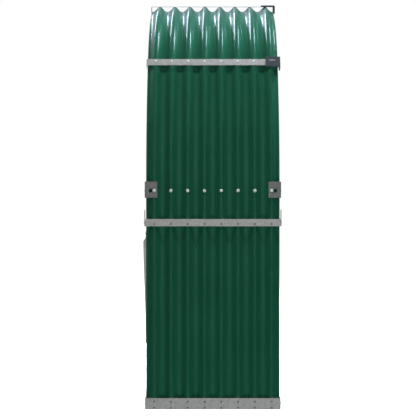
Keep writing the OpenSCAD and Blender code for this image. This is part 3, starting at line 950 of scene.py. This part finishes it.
def dress_nodes():
    """Gives the CAD nodes that still show their procedural materials and rounded edges."""
    slots = {s["node"]: s["material_slot"] for s in frame["record"]["subparts"]}
    for name, obj in frame["nodes"].items():
        look = LOOKS[slots[name]]
        for place in obj.material_slots:
            place.material = look
        if not obj.material_slots:
            obj.data.materials.append(look)
        if not obj.hide_render:
            soften(obj, 0.4 * MM, 3)


dress_nodes()


# ---- floor, light and camera ----

def build_stage():
    """A wide floor, white to the camera, that takes no part in reflections, bounce or shadows."""
    bm = bmesh.new()
    bmesh.ops.create_grid(bm, x_segments=1, y_segments=1, size=30)
    floor = new_object("floor", bm)
    material, tree, shader = nodes_of("pale_floor")
    tone = mix_of(tree, ramp_of(tree, noise_of(tree, 3, 3), [(0.3, 0.0), (0.7, 1.0)]),
                  (0.93, 0.93, 0.93), (0.95, 0.95, 0.95))
    tree.links.new(tone, shader.inputs["Base Color"])
    shader.inputs["Roughness"].default_value = 0.9
    shader.inputs["Emission Color"].default_value = (1, 1, 1, 1)
    shader.inputs["Emission Strength"].default_value = 1.0
    floor.data.materials.append(material)
    floor.visible_glossy = False
    floor.visible_diffuse = False
    floor.visible_shadow = False


def area_light(name, place, target, size, power, size_y=None, colour=(1, 1, 1), glossy=True):
    """A rectangular lamp aimed at a target; glossy says whether reflections show it."""
    data = bpy.data.lights.new(name, "AREA")
    data.shape = "RECTANGLE"
    data.size = size
    data.size_y = size_y or size
    data.energy = power
    data.color = colour
    lamp = bpy.data.objects.new(name, data)
    lamp.location = place
    lamp.rotation_euler = (Vector(target) - Vector(place)).to_track_quat("-Z", "Y").to_euler()
    lamp.visible_glossy = glossy
    bpy.context.scene.collection.objects.link(lamp)


def build_light():
    """A world that is white for the camera and dim with a pale window otherwise, and soft lamps."""
    sky = bpy.data.worlds.new("studio")
    bpy.context.scene.world = sky
    sky.use_nodes = True
    tree = sky.node_tree
    tree.nodes.clear()
    out = tree.nodes.new("ShaderNodeOutputWorld")
    seen = tree.nodes.new("ShaderNodeBackground")
    seen.inputs["Color"].default_value = (1, 1, 1, 1)
    light = tree.nodes.new("ShaderNodeBackground")
    coords = tree.nodes.new("ShaderNodeTexCoord")
    dot = tree.nodes.new("ShaderNodeVectorMath")
    dot.operation = "DOT_PRODUCT"
    dot.inputs[1].default_value = Vector((-0.45, 0.80, 0.38)).normalized()
    tree.links.new(coords.outputs["Generated"], dot.inputs[0])
    window = ramp_of(tree, dot.outputs["Value"],
                     [(0.0, 0.05), (0.55, 0.07),
                      (0.85, (0.40, 0.50, 0.56)), (1.0, (0.72, 0.86, 0.95))])
    axes = tree.nodes.new("ShaderNodeSeparateXYZ")
    tree.links.new(coords.outputs["Generated"], axes.inputs["Vector"])
    above = ramp_of(tree, axes.outputs["Z"], [(0.26, 0.08), (0.5, 1.0)])
    glow = mix_of(tree, 1.0, window, above, "MULTIPLY")
    tree.links.new(glow, light.inputs["Color"])
    path = tree.nodes.new("ShaderNodeLightPath")
    mix = tree.nodes.new("ShaderNodeMixShader")
    tree.links.new(path.outputs["Is Camera Ray"], mix.inputs["Fac"])
    tree.links.new(light.outputs["Background"], mix.inputs[1])
    tree.links.new(seen.outputs["Background"], mix.inputs[2])
    tree.links.new(mix.outputs["Shader"], out.inputs["Surface"])
    middle = (0, 0, 0.75)
    roof = (0, 0, 1.3)
    cool = (0.86, 1.0, 1.22)
    area_light("fill_back", (0.2, -4.2, 1.0), middle, 2.4, 98, glossy=False)
    area_light("fill_low", (0.2, -2.6, -1.2), (0, 0, 0.5), 0.8, 46, glossy=False)
    area_light("fill_front", (0.6, 4.2, 1.6), middle, 2.4, 190, glossy=False)
    area_light("fill_left", (-4.0, 1.9, 1.4), middle, 2.0, 165, glossy=False)
    area_light("fill_right", (4.0, 1.7, 1.4), middle, 2.0, 110, glossy=False)
    area_light("key_right", (1.5, 0.75, 3.8), roof, 0.9, 290, colour=cool, glossy=False)
    area_light("key_left", (-1.05, 1.1, 3.9), roof, 0.9, 80, colour=cool, glossy=False)
    area_light("key_top", (0.1, -1.25, 3.7), roof, 0.25, 105, glossy=False)
    area_light("gloss_right", (1.98, 0.95, 3.31), roof, 0.9, 12, 0.28, colour=cool)
    area_light("gloss_left", (-1.44, 1.8, 3.25), roof, 1.8, 19, 0.26, colour=cool)


def build_camera():
    """Square on to the back and level, a little below half the object's height."""
    data = bpy.data.cameras.new("camera")
    data.sensor_width = 36
    data.lens = 83.2
    camera = bpy.data.objects.new("camera", data)
    camera.location = (-0.016, BACK_Y - 3.15, 0.66)
    camera.rotation_euler = (math.pi / 2, 0, 0)
    bpy.context.scene.collection.objects.link(camera)
    bpy.context.scene.camera = camera


build_stage()
build_light()
build_camera()
bpy.context.scene.view_settings.view_transform = "Standard"
